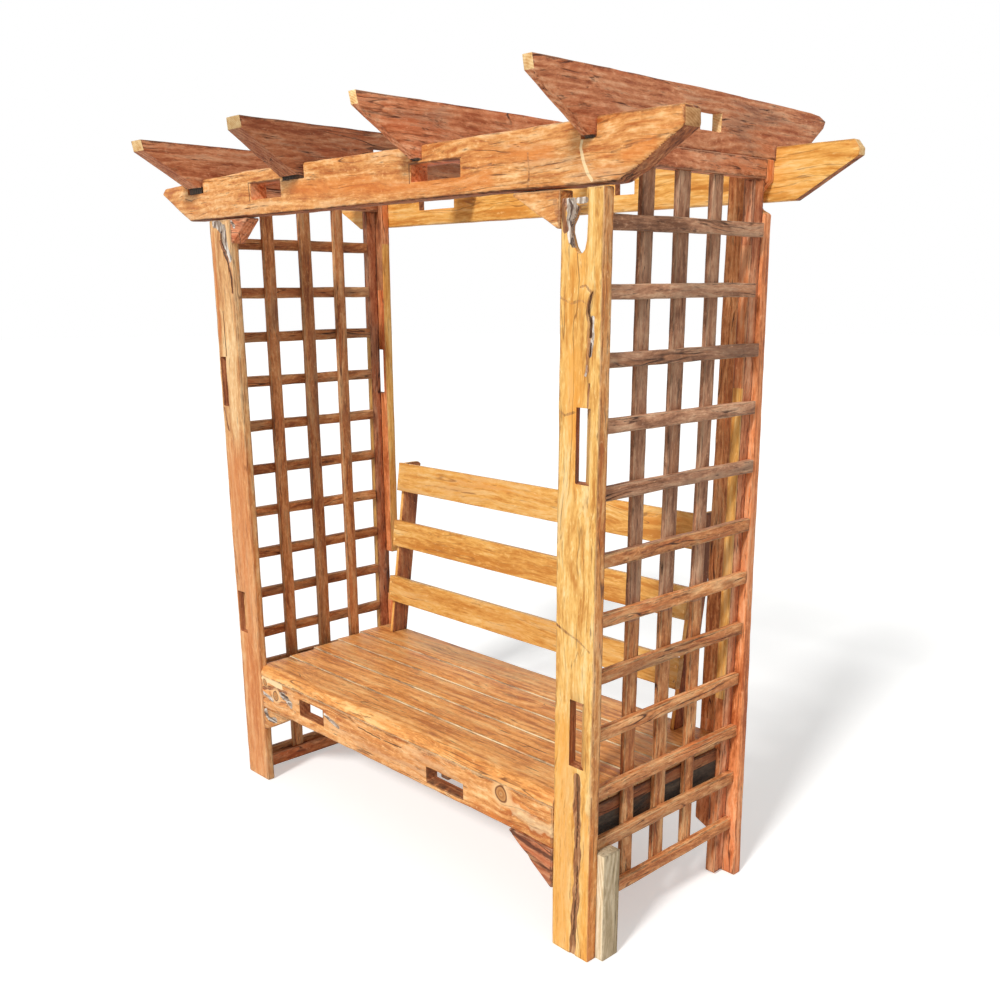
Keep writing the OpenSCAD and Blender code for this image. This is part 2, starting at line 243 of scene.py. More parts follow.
# what single pieces carry as attributes, from 0 to 1: rind is brown inner bark, warm an orange patch
markKinds = ("bark", "crack", "sapwood", "grime", "knot", "rind", "warm")
markRamps = {"bark": {0.34: "33231b", 0.43: "7b6555", 0.52: "b3a190", 0.61: "ece4da"},
             "rind": {0.36: "3c1c10", 0.50: "8c5232", 0.66: "cb9a6e"},
             "knot": {0.42: "e9bb84", 0.49: "74421f", 0.54: "5e3014", 0.60: "c48c50", 0.80: "a86a34",
                      0.88: "cf9a60", 0.97: "40200f"}}


def perMetre(along, across):
    return 1 / (along * mm), 1 / (across * mm), 1 / (across * mm)


def setStops(ramp, colours):
    stops, places = ramp.color_ramp.elements, sorted(colours)
    stops[0].position, stops[0].color = places[0], toLinear(colours[places[0]])
    stops[1].position, stops[1].color = places[-1], toLinear(colours[places[-1]])
    for place in places[1:-1]:
        stops.new(place).color = toLinear(colours[place])


def teak(name, s):
    material = bpy.data.materials.new(name)
    material.use_nodes = True
    tree = material.node_tree
    tree.nodes.clear()
    read = {key: put(tree, "ShaderNodeAttribute", {"attribute_name": key}).outputs
            for key in ("grain", "place", "half", "tone") + markKinds}
    grain = read["grain"]["Vector"]

    # the fibres sway by a few centimetres along the plank
    slow = put(tree, "ShaderNodeMapping", {"Scale": perMetre(*swaySize)}, {"Vector": grain})
    sway = put(tree, "ShaderNodeTexNoise", {"Scale": 1.0, "Detail": 2.0}, {"Vector": slow})
    flow = put(tree, "ShaderNodeVectorMath", {"operation": "MULTIPLY_ADD", 1: (0, 0.07, 0.07)},
               {0: sway.outputs["Color"], 2: grain})
    patterns = {}
    for key, (along, across, detail, rough) in plankNoises.items():
        at = put(tree, "ShaderNodeMapping", {"Scale": perMetre(along / s["along"], across)}, {"Vector": flow})
        patterns[key] = put(tree, "ShaderNodeTexNoise", {"Scale": 1.0, "Detail": detail, "Roughness": rough},
                            {"Vector": at})

    # small knots: long cells, each with one heart, which the rings bend round
    cell = put(tree, "ShaderNodeMapping", {"Scale": perMetre(*knotSize)}, {"Vector": grain})
    patterns["eye"] = put(tree, "ShaderNodeTexVoronoi", {"Scale": 1.0}, {"Vector": cell})
    bend = put(tree, "ShaderNodeMapRange", {2: 0.34, 3: 1.0, 4: 0.0}, {0: patterns["eye"]})
    # growth rings round the heart, pushed about by a slow noise so that they run out as arches
    flat = put(tree, "ShaderNodeMapping", {"Scale": (0, 1, 1)}, {"Vector": grain})
    radius = put(tree, "ShaderNodeVectorMath", {"operation": "LENGTH"}, {0: flat}).outputs["Value"]
    turnsPerMetre = 2 * math.pi / (s["ring"] * mm)
    turns = put(tree, "ShaderNodeMath", {"operation": "MULTIPLY", 1: turnsPerMetre}, {0: radius})
    for source, push in ((patterns["drift"], 45 * mm), (bend, 25 * mm)):
        turns = put(tree, "ShaderNodeMath", {"operation": "MULTIPLY_ADD", 1: push * turnsPerMetre},
                    {0: source, 2: turns})
    patterns["rings"] = put(tree, "ShaderNodeMath", {"operation": "SINE"}, {0: turns})

    # distance from the nearest arris: the middle one of the gaps to the piece's three pairs of sides
    gap = put(tree, "ShaderNodeVectorMath", {"operation": "ABSOLUTE"}, {0: read["place"]["Vector"]})
    gap = put(tree, "ShaderNodeVectorMath", {"operation": "SUBTRACT"}, {0: read["half"]["Vector"], 1: gap})
    gaps = put(tree, "ShaderNodeSeparateXYZ", {}, {0: gap}).outputs
    larger = put(tree, "ShaderNodeMath", {"operation": "MAXIMUM"}, {0: gaps[0], 1: gaps[1]})
    smaller = put(tree, "ShaderNodeMath", {"operation": "MINIMUM"}, {0: gaps[0], 1: gaps[1]})
    inner = put(tree, "ShaderNodeMath", {"operation": "MINIMUM"}, {0: larger, 1: gaps[2]})
    patterns["rim"] = put(tree, "ShaderNodeMath", {"operation": "MAXIMUM"}, {0: smaller, 1: inner})
    # long shakes run where a slow noise crosses its middle
    off = put(tree, "ShaderNodeMath", {"operation": "SUBTRACT", 1: 0.5}, {0: patterns["line"]})
    patterns["offLine"] = put(tree, "ShaderNodeMath", {"operation": "ABSOLUTE"}, {0: off})

    # products of two patterns: for each, its name, low, high, and the share at low and at high
    wornHighlightWidth = s["wornHighlightWidth"] * mm
    products = {"flecks": (("fleck", 0.57, 0.70, 0.0, s["flecks"]), ("blotch", 0.42, 0.58, 0.25, 1.0)),
                "shakes": (("offLine", 0.003, 0.012, 0.9, 0.0), ("ember", 0.50, 0.60, 0.0, s["flecks"])),
                "crest": (("rim", wornHighlightWidth / 2, wornHighlightWidth, s["crest"], 0.0), ("blotch", 0.38, 0.55, 0.2, 1.0))}
    for name, pair in products.items():
        first, second = (put(tree, "ShaderNodeMapRange", dict(enumerate(ends, 1)), {0: patterns[key]})
                         for key, *ends in pair)
        patterns[name] = put(tree, "ShaderNodeMath", {"operation": "MULTIPLY"}, {0: first, 1: second})

    # sums of patterns: for each, its base and the weight of each part
    rim = s["rim"] * mm
    sums = {"figure": (-0.79, {"blotch": 0.75, "streak": 0.50, "mottle": 0.45, "speckle": 0.26, "fibre": 0.22,
                               "patch": 0.40, "rings": s["ringShare"]}),
            "stained": (0.0, {"patch": 1.0, "blotch": 0.5, "streak": 0.5}),
            "ragged": (-1.5 * rim, {"crumb": 3 * rim, "rim": 1.0})}
    for kind in markKinds:
        patterns[kind + "Mark"] = read[kind]["Fac"]
        # marks have crumbled edges, and a knot keeps its rings
        crumbs = 0.12 if kind == "knot" else 0.5
        sums[kind + "Edge"] = (-crumbs / 2, {kind + "Mark": 1.0, "crumb": crumbs})
    for name, (base, weights) in sums.items():
        total = None
        for key, weight in weights.items():
            total = put(tree, "ShaderNodeMath", {"operation": "MULTIPLY_ADD", 1: weight, 2: base},
                        {0: patterns[key], 2: total} if total else {0: patterns[key]})
        patterns[name] = total

    ramps = {}
    for key, source, colours in (("wood", "figure", {0.32: s["dark"], 0.50: s["mid"], 0.66: s["light"]}),
                                 ("bark", "bark", markRamps["bark"]),
                                 ("rind", "bark", markRamps["rind"]),
                                 ("knot", "knotEdge", {0.10: s["light"], **markRamps["knot"]})):
        ramps[key] = put(tree, "ShaderNodeValToRGB", {}, {0: patterns[source]})
        setStops(ramps[key], colours)

    # layers over the wood: pattern, low, high, the share at low and at high, and the colour
    layers = (("ember", 0.54, 0.68, 0.0, s["emberShare"], s["ember"]),
              ("stained", 1.02, 1.24, 0.0, s["stainShare"], s["stain"]),
              ("speckle", 0.62, 0.74, 0.0, 0.55, s["light"]),
              ("flecks", 0.0, 1.0, 0.0, 1.0, s["vein"]),
              ("shakes", 0.0, 1.0, 0.0, 1.0, s["vein"]),
              ("eye", 0.03, 0.09, 0.55, 0.0, s["vein"]),
              ("ragged", 0.3 * rim, rim, s["rimShare"], 0.0, s["vein"]),
              ("crest", 0.0, 1.0, 0.0, 1.0, s["wornHighlightTint"]),
              ("sapwoodEdge", 0.25, 0.60, 0.0, 0.75, "fbe2b0"),
              ("warmEdge", 0.0, 1.0, 0.0, 0.55, s["ember"]),
              ("barkEdge", 0.34, 0.52, 0.0, 1.0, ramps["bark"]),
              ("rindEdge", 0.30, 0.55, 0.0, 0.9, ramps["rind"]),
              ("knotEdge", 0.05, 0.40, 0.0, 0.9, ramps["knot"]),
              ("grimeEdge", 0.2, 0.8, 0.0, 0.8, s["vein"]),
              ("crackEdge", 0.30, 0.55, 0.0, 0.85, "42200f"))
    colour = ramps["wood"]
    for key, low, high, start, end, tint in layers:
        share = put(tree, "ShaderNodeMapRange", {1: low, 2: high, 3: start, 4: end}, {0: patterns[key]})
        patterns[key + "Share"] = share
        values, links = {"data_type": "RGBA"}, {0: share, 6: colour}
        if isinstance(tint, str):
            values[7] = toLinear(tint)
        else:
            links[7] = tint
        colour = put(tree, "ShaderNodeMix", values, links).outputs[2]
    tinted = put(tree, "ShaderNodeHueSaturation", {}, {"Color": colour, "Value": read["tone"]["Fac"]})

    # raised grain, tool dents and sunk cracks
    height = None
    for key, weight in (("fibre", 0.6), ("mottle", 0.7), ("flecks", -0.8), ("shakes", -1.0), ("hewn", 1.8),
                        ("bark", 0.6), ("barkEdgeShare", 0.5), ("crackEdgeShare", -1.5)):
        height = put(tree, "ShaderNodeMath", {"operation": "MULTIPLY_ADD", 1: weight, 2: 0.0},
                     {0: patterns[key], 2: height} if height else {0: patterns[key]})
    bump = put(tree, "ShaderNodeBump", {"Strength": s["relief"], "Distance": 0.0022}, {"Height": height})
    sheen = put(tree, "ShaderNodeMapRange", {1: 0.3, 2: 0.7, 3: s["rough"] - 0.08, 4: s["rough"] + 0.14},
                {0: patterns["mottle"]})
    skin = put(tree, "ShaderNodeBsdfPrincipled", {"IOR": 1.5, "Specular IOR Level": 0.35},
               {"Base Color": tinted, "Roughness": sheen, "Normal": bump})
    put(tree, "ShaderNodeOutputMaterial", {}, {"Surface": skin})
    return material


# sawn ends: rings cut square across, with fine dark checks between them; ring is their spacing,
# blot the size of the patches and push how far these move the rings, all in mm
endGrains = {
    "paleEnd": {"dark": "d09a5c", "light": "f6d49c", "check": "8a5a30", "ring": 6, "blot": 18, "push": 8},
    "dullEnd": {"dark": "b07a4a", "light": "d8a672", "check": "6a4226", "ring": 6, "blot": 18, "push": 8},
}


def endGrain(name, s):
    material = bpy.data.materials.new(name)
    material.use_nodes = True
    tree = material.node_tree
    tree.nodes.clear()
    grain = put(tree, "ShaderNodeAttribute", {"attribute_name": "grain"}).outputs["Vector"]
    flat = put(tree, "ShaderNodeMapping", {"Scale": (0, 1, 1)}, {"Vector": grain})
    radius = put(tree, "ShaderNodeVectorMath", {"operation": "LENGTH"}, {0: flat}).outputs["Value"]
    blot = put(tree, "ShaderNodeTexNoise", {"Scale": 1 / (s["blot"] * mm), "Detail": 5.0, "Roughness": 0.65},
               {"Vector": grain})
    push = put(tree, "ShaderNodeMath", {"operation": "MULTIPLY_ADD", 1: s["push"] * mm}, {0: blot, 2: radius})
    turns = put(tree, "ShaderNodeMath", {"operation": "MULTIPLY", 1: 2 * math.pi / (s["ring"] * mm)}, {0: push})
    wave = put(tree, "ShaderNodeMath", {"operation": "SINE"}, {0: turns})
    mixed = put(tree, "ShaderNodeMath", {"operation": "MULTIPLY_ADD", 1: 0.06}, {0: wave, 2: blot})
    ramp = put(tree, "ShaderNodeValToRGB", {}, {0: mixed})
    setStops(ramp, {0.24: s["check"], 0.34: s["dark"], 0.64: s["light"]})
    tone = put(tree, "ShaderNodeAttribute", {"attribute_name": "tone"}).outputs["Fac"]
    tinted = put(tree, "ShaderNodeHueSaturation", {}, {"Color": ramp, "Value": tone})
    bump = put(tree, "ShaderNodeBump", {"Strength": 0.6, "Distance": 0.001}, {"Height": mixed})
    skin = put(tree, "ShaderNodeBsdfPrincipled", {"IOR": 1.5, "Roughness": 0.8, "Specular IOR Level": 0.2},
               {"Base Color": tinted, "Normal": bump})
    put(tree, "ShaderNodeOutputMaterial", {}, {"Surface": skin})
    return material


finishes = {name: teak(name, {**usualTeak, "wornHighlightTint": s["light"], **s}) for name, s in teaks.items()}
finishes.update({name: endGrain(name, s) for name, s in endGrains.items()})
print("finishes are mixed")

# timbers


def smooth(x, low, high):
    t = max(0.0, min(1.0, (x - low) / (high - low)))
    return t * t * (3 - 2 * t)


def slowNoise(x, y, seed):
    return noise.noise(Vector((x, y, seed * 7.31)))


def copyOf(node):
    bm = bmesh.new()
    bm.from_mesh(nodes[node].data)
    bmesh.ops.remove_doubles(bm, verts=bm.verts, dist=0.00002)
    bmesh.ops.dissolve_limit(bm, angle_limit=math.radians(0.6), verts=bm.verts, edges=bm.edges)
    return bm


def inside(point, boxes, slack=4 * mm):
    return any(all(low[i] * mm - slack <= point[i] <= high[i] * mm + slack for i in range(3))
               for low, high in boxes)


# rounds the arrises: the plank's own ones by arris, those of old mortises by a hair
def roundArrises(bm, s):
    bm.normal_update()
    sharp = [e for e in bm.edges if len(e.link_faces) == 2 and e.calc_face_angle(0) > math.radians(25)]
    mortises = s.get("mortises", [])
    fine = [e for e in sharp if inside((e.verts[0].co + e.verts[1].co) / 2, mortises)]
    own = [e for e in sharp if e not in set(fine)]
    if s["arris"]:
        bmesh.ops.bevel(bm, geom=own, offset=s["arris"] * mm, offset_type="OFFSET", affect="EDGES",
                        segments=s.get("segments", 2), profile=0.5, material=-1, clamp_overlap=True)
    bm.normal_update()
    if mortises:
        fine = [e for e in bm.edges if len(e.link_faces) == 2 and e.calc_face_angle(0) > math.radians(40)
                and inside((e.verts[0].co + e.verts[1].co) / 2, mortises)]
        bmesh.ops.bevel(bm, geom=fine, offset=1.5 * mm, offset_type="OFFSET", affect="EDGES",
                        segments=1, profile=0.5, material=-1, clamp_overlap=True)


def sliceUp(bm, axis, step, low=None, high=None, faces=None):
    values = [v.co[axis] for v in bm.verts]
    low = min(values) if low is None else low
    high = max(values) if high is None else high
    count = max(1, round((high - low) / step))
    normal = Vector((0, 0, 0))
    normal[axis] = 1
    near = [f for f in bm.faces if faces is None or faces(f)]
    geom = near + list({e for f in near for e in f.edges}) + list({v for f in near for v in f.verts})
    for i in range(1, count):
        place = Vector((0, 0, 0))
        place[axis] = low + (high - low) * i / count
        geom = bmesh.ops.bisect_plane(bm, geom=geom, dist=0.0004, plane_co=place, plane_no=normal)["geom"]


def lineDistance(x, z, path):
    best = 1e9
    for (x0, z0), (x1, z1) in zip(path, path[1:] or path):
        dx, dz = x1 - x0, z1 - z0
        span = dx * dx + dz * dz
        t = 0 if span == 0 else max(0, min(1, ((x - x0) * dx + (z - z0) * dz) / span))
        best = min(best, math.hypot(x - x0 - t * dx, z - z0 - t * dz))
    return best


# a mark on a front face: bark, a crack, sapwood or a knot along a path of X and Z, in mm
def mark(kind, width, *path, depth=0, share=1):
    return {"kind": kind, "width": width, "path": path, "depth": depth, "share": share}


def carve(bm, marks, front):
    faceDepth, vertDepth, margin = 6 * mm, 7 * mm, 30 * mm
    layers = {k: bm.verts.layers.float[k] for k in markKinds}
    for m in marks:
        reach = m["width"] * (2.4 if m["kind"] == "knot" else 1.3) + 4
        xs, zs = [p[0] for p in m["path"]], [p[1] for p in m["path"]]
        x0, x1, z0, z1 = (v * mm for v in (min(xs) - reach, max(xs) + reach, min(zs) - reach, max(zs) + reach))

        def close(f):
            c = f.calc_center_median()
            return (abs(c.y - front) < faceDepth and x0 - margin < c.x < x1 + margin
                    and z0 - margin < c.z < z1 + margin)
        step = (m["width"] / 6 if m["kind"] == "knot" else max(1.7, m["width"] / 3.5)) * mm
        low = Vector([min(v.co[i] for v in bm.verts) for i in range(3)])
        high = Vector([max(v.co[i] for v in bm.verts) for i in range(3)])
        sliceUp(bm, 0, step, max(x0, low.x), min(x1, high.x), close)
        sliceUp(bm, 2, step * 1.6, max(z0, low.z), min(z1, high.z), close)
    for m in marks:
        for v in bm.verts:
            if abs(v.co.y - front) > vertDepth:
                continue
            x, z = v.co.x / mm, v.co.z / mm
            wobble = 1 + (0.15 if m["kind"] == "knot" else 0.45) * slowNoise(x * 0.06, z * 0.03, m["width"])
            d = lineDistance(x, z, m["path"]) / (m["width"] * wobble)
            amount = 1 - smooth(d, 0.45, 1.05)
            if m["kind"] == "knot":
                amount = max(0, 1 - d / 2.2)
            elif m["kind"] == "warm":
                amount = 1 - smooth(d, 0, 1.3)
            amount *= m["share"]
            if amount > 0:
                layer = layers[m["kind"]]
                v[layer] = max(v[layer], amount)
                rough = 0.6 + 0.8 * abs(slowNoise(x * 0.11, z * 0.05, 3.0))
                v.co.y += m["depth"] * mm * amount * rough


# lays the grain along the plank, then lets its faces wander as hand-planed waney timber does
def layGrain(bm, s, low, high):
    axis = s["axis"]
    sides = [a for a in (0, 1, 2) if a != axis]
    if high[sides[0]] - low[sides[0]] < high[sides[1]] - low[sides[1]]:
        sides.reverse()  # wide side first
    centre = (low + high) / 2
    grain, place, half = (bm.verts.layers.float_vector.new(k) for k in ("grain", "place", "half"))
    tone = bm.verts.layers.float.new("tone")
    seed = s["seed"]
    heart = s.get("heart", (30, -110))
    order = [axis] + sides
    knots = [m for m in s.get("marks", []) if m["kind"] == "knot"]
    for v in bm.verts:
        v[tone] = s.get("tone", 1.0)
        at = Vector([v.co[a] - centre[a] for a in order])
        v[place] = at
        v[half] = Vector([(high[a] - low[a]) / 2 for a in order])
        shift = Vector((seed * 3.7, -heart[0] * mm, -heart[1] * mm))
        # fibres part round a knot
        for m in knots:
            x, z = v.co.x / mm - m["path"][0][0], v.co.z / mm - m["path"][0][1]
            pull = 0.85 * math.exp(-(x * x + z * z) / (2.2 * m["width"]) ** 2)
            shift.y -= (z if axis == 0 else x) * mm * pull
        v[grain] = at + shift
    bm.normal_update()
    moves = []
    for v in bm.verts:
        u = v.co[axis]
        move = v.normal * (s.get("ripple", 0.5) * mm * noise.noise(v.co * 19 + Vector((seed, 0, 0))))
        move[sides[0]] += s.get("bow", 1.0) * mm * slowNoise(u * 2.3, 0, seed)
        move[sides[1]] += s.get("bow", 1.0) * 0.4 * mm * slowNoise(u * 2.0, 5, seed)
        for w in s.get("waney", []):
            a = w["axis"]
            t = (v.co[a] - low[a]) / (high[a] - low[a])
            t = t if w["side"] > 0 else 1 - t
            weight = smooth(t, w.get("start", 0.55), 1.0)
            wave = 0.5 + 0.5 * slowNoise(u / (w["length"] * mm), 1.7, seed + w["side"])
            wave = wave * 0.8 + 0.2 * (0.5 + 0.5 * slowNoise(u / (w["length"] * 0.3 * mm), 9.0, seed))
            move[a] -= w["side"] * w["depth"] * mm * weight * wave
        moves.append(move)
    for v, move in zip(bm.verts, moves):
        v.co += move
    slack = Vector((1, 1, 1)) * s.get("slack", 1.0) * mm
    for v in bm.verts:
        for i in range(3):
            v.co[i] = max(low[i] - slack[i], cadLow[i], min(high[i] + slack[i], cadHigh[i], v.co[i]))


# gives each face its finish: the timber's own, its sawn ends, or that of a region given as a box
def dress(bm, s):
    skins = [s["finish"]]
    bm.normal_update()
    if s.get("ends"):
        skins.append(s["ends"])
        for f in bm.faces:
            if abs(f.normal[s["axis"]]) > 0.75:
                f.material_index = 1
    for skin, low, high in s.get("regions", []):
        if skin not in skins:
            skins.append(skin)
        for f in bm.faces:
            c = f.calc_center_median()
            if all(low[i] * mm <= c[i] <= high[i] * mm for i in range(3)):
                f.material_index = skins.index(skin)
    # painted shade: inner walls of old mortises take the dark inner finish, for the shade in the recess
    if s.get("mortises"):
        skins.append(s.get("inner", "umberShadeTeak"))
        for f in bm.faces:
            if abs(f.normal.y) < 0.5 and inside(f.calc_center_median(), s["mortises"], mm):
                f.material_index = len(skins) - 1
    return skins


def finishPiece(bm, name, skins, replaced):
    mesh = bpy.data.meshes.new(name)
    bm.normal_update()
    for f in bm.faces:
        f.smooth = True
    bm.to_mesh(mesh)
    bm.free()
    for skin in skins:
        mesh.materials.append(finishes[skin])
    mesh.set_sharp_from_angle(angle=math.radians(38))
    piece = bpy.data.objects.new(name, mesh)
    bpy.context.scene.collection.objects.link(piece)
    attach(piece, "root")
    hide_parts(*replaced)


def timber(node, s):
    bm = copyOf(node)
    for kind in markKinds:
        bm.verts.layers.float.new(kind)
    low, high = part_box(node)
    roundArrises(bm, s)
    sliceUp(bm, s["axis"], s.get("step", 40) * mm)
    for a in (0, 1, 2):
        if a != s["axis"] and high[a] - low[a] > 0.06:
            sliceUp(bm, a, s.get("stepWide", 32) * mm)
    if s.get("marks"):
        carve(bm, s["marks"], low.y)
    skins = dress(bm, s)
    layGrain(bm, s, low, high)
    finishPiece(bm, node + "_timber", skins, [node])


# left front post: a thin plank with bark under the brace and two old mortises by its outer edge
leftPost = {"axis": 2, "seed": 1.3, "finish": "wheatTeak", "ends": "dullEnd", "slot": "golden_teak",
            "arris": 5, "segments": 3, "tone": 0.95, "ripple": 1.2, "bow": 0.8, "heart": (20, -90),
            "waney": [{"axis": 0, "side": -1, "depth": 9, "length": 260}],
            "mortises": [((-788, -370, 1335), (-749, -320, 1497)), ((-788, -370, 544), (-734, -320, 694))],
            "marks": [mark("bark", 21, (-764, 1914), (-736, 1906), (-710, 1890), (-704, 1860), (-700, 1832),
                           (-684, 1804), depth=6),
                      mark("crack", 2.6, (-726, 1884), (-724, 1850), (-704, 1818), depth=3, share=0.8),
                      mark("rind", 7, (-730, 1856), (-706, 1812), (-684, 1778), (-676, 1744), (-676, 1700),
                           depth=3),
                      mark("crack", 2.4, (-718, 1824), (-694, 1786), (-681, 1750), (-678, 1700), depth=2,
                           share=0.7),
                      mark("warm", 14, (-774, 1880), (-780, 1700), (-776, 1560)),
                      mark("warm", 110, (-730, 1150), (-724, 700), (-730, 60)),
                      mark("rind", 6, (-784, 1328), (-774, 1290), (-764, 1256), depth=2),
                      mark("crack", 2.6, (-744, 1640), (-742, 1500), depth=1)]}
timber("front_post_left", leftPost)

# right front post: an eye and grey bark under its top, and a bark seam down to the foot
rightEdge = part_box("front_post_right")[1].x / mm
rightPost = {"axis": 2, "seed": 2.1, "finish": "yellowTeak", "ends": "paleEnd", "slot": "golden_teak",
             "arris": 4, "segments": 3, "ripple": 1.0, "bow": 0.6, "heart": (-25, -120),
             "waney": [{"axis": 0, "side": -1, "depth": 5, "length": 300}],
             "mortises": [((790, -370, 1267), (859, -325, 1447)), ((796, -370, 544), (859, -325, 725))],
             "regions": [("goldenTeak", (rightEdge - 3, -370, -5), (rightEdge + 3, -310, 1930))],
             "marks": [mark("bark", 20, (770, 1899), (784, 1888), (794, 1872), (786, 1852), (782, 1838),
                            (794, 1812), depth=5),
                       mark("crack", 3, (776, 1900), (786, 1880), (778, 1856), (788, 1836), depth=3),
                       mark("rind", 10, (760, 1902), (760, 1866), (768, 1836), depth=2),
                       mark("bark", 8, (806, 1896), (832, 1894), depth=3),
                       mark("rind", 9, (854, 1700), (845, 1676), (843, 1655), (849, 1636), (847, 1580),
                            (842, 1530), depth=3, share=0.5),
                       mark("crack", 4, (853, 1700), (846, 1676), (845, 1655), (852, 1634), (850, 1604),
                            depth=4),
                       mark("crack", 2.6, (852, 1590), (850, 1560), depth=3, share=0.8),
                       mark("rind", 5, (820, 1712), (834, 1716), (852, 1700), depth=2, share=0.46),
                       mark("rind", 5, (756, 1690), (790, 1676), (822, 1684), (846, 1672), depth=1,
                            share=0.42),
                       mark("bark", 8, (856, 1644), (858, 1610), (852, 1566), depth=3),
                       mark("bark", 5, (842, 1540), (840, 1520), depth=1, share=0.7),
                       mark("rind", 4, (850, 1500), (848, 1450), depth=2, share=0.8),
                       mark("warm", 26, (800, 1560), (812, 1380)),
                       mark("warm", 46, (780, 640), (786, 300), (780, 40)),
                       mark("rind", 5, (752, 1436), (774, 1425), (808, 1434), depth=1, share=0.46),
                       mark("rind", 5, (752, 912), (790, 896), (830, 884), (868, 862), depth=1, share=0.46),
                       mark("rind", 15, (834, 520), (838, 400), (842, 317), (838, 169), (832, 60), (830, 0),
                            depth=4),
                       mark("crack", 2.4, (836, 480), (840, 380), (836, 320), depth=2, share=0.6),
                       mark("crack", 2.6, (842, 270), (836, 160), (830, 60), depth=2, share=0.62),
                       mark("warm", 18, (870, 420), (874, 180), (876, 0))]}
timber("front_post_right", rightPost)

# rear posts
# the left rear post's right side face is drawn in paler honey teak, partly a painted sunlit strip and partly
# paler wood; the top of its front face is umber, a painted shadow
leftRearPost = {"axis": 2, "seed": 3.7, "finish": "orangeTeak", "ends": "dullEnd", "slot": "brown_teak",
                "arris": 4, "tone": 0.98, "ripple": 1.0, "bow": 0.6, "heart": (40, -70),
                "mortises": [((-816, 285, 1335), (-751, 330, 1495)), ((-796, 285, 558), (-730, 330, 732))],
                "regions": [("honeyTeak", (-737.5, 280, 740), (-720, 340, 1880)),
                            ("umberShadeTeak", (-840, 280, 1700), (-738, 292, 2070))]}
timber("rear_post_left", leftRearPost)

# painted shade: the left part of the right rear post's front face is drawn in amber teak
rightRearPost = {"axis": 2, "seed": 4.9, "finish": "orangeTeak", "ends": "dullEnd", "slot": "honey_teak",
                 "arris": 4, "tone": 1.06, "ripple": 1.2, "bow": 0.6, "heart": (50, -90),
                 "waney": [{"axis": 0, "side": 1, "depth": 7, "length": 210, "start": 0.7}],
                 "regions": [("amberTeak", (730, 280, 460), (812, 294, 2070))]}
timber("rear_post_right", rightRearPost)
print("posts are shaped")

# long beams
# painted shade: the front beam's underside and bevelled right end are drawn in umber, and its mortise walls in
# orange teak
frontBeam = {"axis": 0, "seed": 5.2, "finish": "goldenTeak", "ends": "dullEnd", "slot": "golden_teak",
             "inner": "orangeTeak", "arris": 8, "segments": 3, "ripple": 1.8, "bow": 0, "heart": (-70, -60),
             "waney": [{"axis": 2, "side": -1, "depth": 7, "length": 420, "start": 0.7}],
             "regions": [("umberShadeTeak", (-1080, -372, 1915), (1080, -300, 1924)),
                         ("umberShadeTeak", (700, -362, 1915), (1088, -310, 2058))],
             "mortises": [((-532, -370, 1970), (-367, -300, 2016)), ((232, -370, 1969), (420, -300, 2011)),
                          ((-915, -370, 2004), (-813, -300, 2070)), ((-354, -370, 2010), (-245, -300, 2070)),
                          ((232, -370, 2015), (276, -300, 2070)), ((812, -370, 2015), (858, -300, 2070))],
             "marks": [mark("sapwood", 5, (818, 2020), (814, 2001), (823, 1972), (836, 1945), (846, 1930)),
                       mark("warm", 24, (600, 2010), (662, 1998), (716, 2004)),
                       mark("warm", 22, (-120, 1985), (60, 1990)),
                       mark("warm", 20, (940, 1975), (1010, 1996)),
                       mark("rind", 5, (652, 2003), (656, 1960), (650, 1920), depth=1, share=0.42),
                       mark("warm", 26, (-300, 1990), (150, 1962), (520, 1958)),
                       mark("rind", 5, (900, 1984), (960, 1996), (1050, 2008), depth=1, share=0.42),
                       mark("rind", 5, (430, 1990), (480, 1984), (530, 1990), depth=1, share=0.46),
                       mark("grime", 3, (-540, 1967), (-540, 2018), (-365, 2018)),
                       mark("grime", 3, (228, 1967), (228, 2013), (424, 2013))]}
timber("front_beam", frontBeam)

rearLow, rearHigh = (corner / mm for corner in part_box("rear_beam"))
# painted shade: the underside and lower end face of the rear beam's right end are drawn in umber
rearBeam = {"axis": 0, "seed": 6.4, "finish": "honeyTeak", "ends": "paleEnd", "slot": "honey_teak",
            "arris": 4, "ripple": 1.2, "bow": 0, "heart": (60, -50),
            "regions": [("umberShadeTeak", (910, rearLow.y + 4, rearLow.z - 5),
                         (1095, rearHigh.y - 4, rearLow.z + 92))],
            "mortises": [((-565, 320, 1970), (-383, 385, 2012)), ((323, 320, 1967), (395, 385, 2005))]}
timber("rear_beam", rearBeam)

# rafters: coarse sawn sides, pale sawn tips
rafters = {"axis": 1, "finish": "russetTeak", "ends": "paleEnd", "slot": "russet_teak", "arris": 2.5,
           "ripple": 1.6, "bow": 0,
           # the cog over the front beam is drawn near black
           "regions": [("nearBlackTeak", (-1200, -380, 2000), (1200, -290, 2026))],
           "each": [{"tone": 0.94, "seed": 7.1, "heart": (-40, -60)},
                    {"tone": 0.70, "seed": 8.3, "heart": (-60, -80)},
                    {"tone": 1.18, "seed": 9.6, "heart": (-90, -70)},
                    {"tone": 0.99, "seed": 10.2, "heart": (-110, -50)}]}
for i, own in enumerate(rafters["each"]):
    timber("rafter_%d" % (i + 1), {**rafters, **own})
print("beams and rafters are laid")

# rails along the tops of the sides
topRails = {"axis": 1, "finish": "russetTeak", "slot": "russet_teak", "arris": 3, "ripple": 1.0, "bow": 0}
timber("top_rail_left", {**topRails, "seed": 11.2})
timber("top_rail_right", {**topRails, "seed": 12.6, "tone": 1.08})

